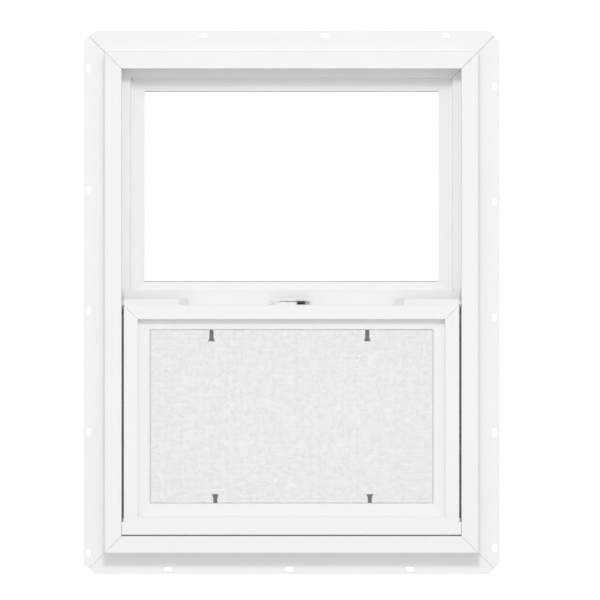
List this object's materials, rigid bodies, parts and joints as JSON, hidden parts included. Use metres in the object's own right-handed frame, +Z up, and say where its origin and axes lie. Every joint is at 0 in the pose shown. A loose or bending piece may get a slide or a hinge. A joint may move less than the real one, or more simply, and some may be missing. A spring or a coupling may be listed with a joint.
{
  "type": "single-hung sash window",
  "caption": "Tilt-in single-hung vinyl window with a nail fin, a fixed upper light, a sliding and tilting lower sash, a sweep lock, tilt latches and an insect screen.",
  "frame": {"origin": "middle of the bottom nail fin's lower edge, on the fin's room-side plane", "axes": "+Z up along the jambs, +X to the right seen from the room, +Y from the room to the outdoors"},
  "size_m": [0.665, 0.0826, 0.8681],
  "materials": {
    "vinyl": "satin",
    "glass": "polished",
    "spacer_metal": "satin",
    "black_rubber": "matte",
    "screen_spline": "matte",
    "pile": "matte",
    "pull_tab": "matte",
    "screen_mesh": "matte",
    "grey_nylon": "satin",
    "screen_bar": "satin",
    "steel": "satin",
    "white_nylon": "satin",
    "black_cast": "satin"
  },
  "bodies": {
    "frame": {"frame_head": "vinyl", "frame_sill": "vinyl", "frame_jamb_left": "vinyl", "frame_jamb_right": "vinyl", "meeting_rail": "vinyl", "meeting_rail_pile": "pile", "upper_inner_pane": "glass", "upper_outer_pane": "glass", "upper_glass_spacer": "spacer_metal", "upper_bead_top": "vinyl", "upper_bead_bottom": "vinyl", "upper_bead_left": "vinyl", "upper_bead_right": "vinyl", "upper_setting_blocks": "black_rubber", "lock_keeper": "white_nylon", "keeper_screws": "steel", "coil_balance_left": "white_nylon", "coil_balance_right": "white_nylon", "balance_ribbon_left": "steel", "balance_ribbon_right": "steel", "screen_bar_top": "screen_bar", "screen_bar_bottom": "screen_bar", "screen_bar_left": "screen_bar", "screen_bar_right": "screen_bar", "screen_corner_keys": "grey_nylon", "screen_spline": "screen_spline", "screen_mesh": "screen_mesh", "pull_tab_top_left": "pull_tab", "pull_tab_top_right": "pull_tab", "pull_tab_bottom_left": "pull_tab", "pull_tab_bottom_right": "pull_tab"},
    "carriage": {"pivot_shoe_left": "grey_nylon", "pivot_shoe_right": "grey_nylon"},
    "sash": {"sash_top_rail": "vinyl", "sash_bottom_rail": "vinyl", "sash_stile_left": "vinyl", "sash_stile_right": "vinyl", "sash_inner_pane": "glass", "sash_outer_pane": "glass", "sash_glass_spacer": "spacer_metal", "sash_bead_top": "vinyl", "sash_bead_bottom": "vinyl", "sash_bead_left": "vinyl", "sash_bead_right": "vinyl", "sash_glazing_gasket": "black_rubber", "sash_setting_blocks": "black_rubber", "sash_side_piles": "pile", "sash_bottom_pile": "pile", "pivot_bar_left": "steel", "pivot_bar_right": "steel", "latch_housing_left": "white_nylon", "latch_housing_right": "white_nylon", "latch_screws": "steel", "lock_base": "white_nylon", "lock_screws": "steel"},
    "latch_left": {"latch_bolt_left": "white_nylon"},
    "latch_right": {"latch_bolt_right": "white_nylon"},
    "lock": {"lock_lever": "white_nylon", "lock_cam": "black_cast", "lock_cam_tip": "steel"}
  },
  "joints": [
    {"name": "sash_slide", "type": "slide", "parent": "frame", "child": "carriage", "axis": [0, 0, 1], "range_m": [0, 0.33], "deforming": ["balance_ribbon_left", "balance_ribbon_right"]},
    {"name": "sash_tilt", "type": "hinge", "parent": "carriage", "child": "sash", "pos_m": [0, -0.02, 0.08], "axis": [1, 0, 0], "range_deg": [0, 90]},
    {"name": "latch_left_slide", "type": "slide", "parent": "sash", "child": "latch_left", "axis": [-1, 0, 0], "range_m": [0, 0.008]},
    {"name": "latch_right_slide", "type": "slide", "parent": "sash", "child": "latch_right", "axis": [1, 0, 0], "range_m": [0, 0.008]},
    {"name": "lock_turn", "type": "hinge", "parent": "sash", "child": "lock", "pos_m": [0, -0.024, 0.4293], "axis": [0, 0, 1], "range_deg": [0, 90]}
  ]
}
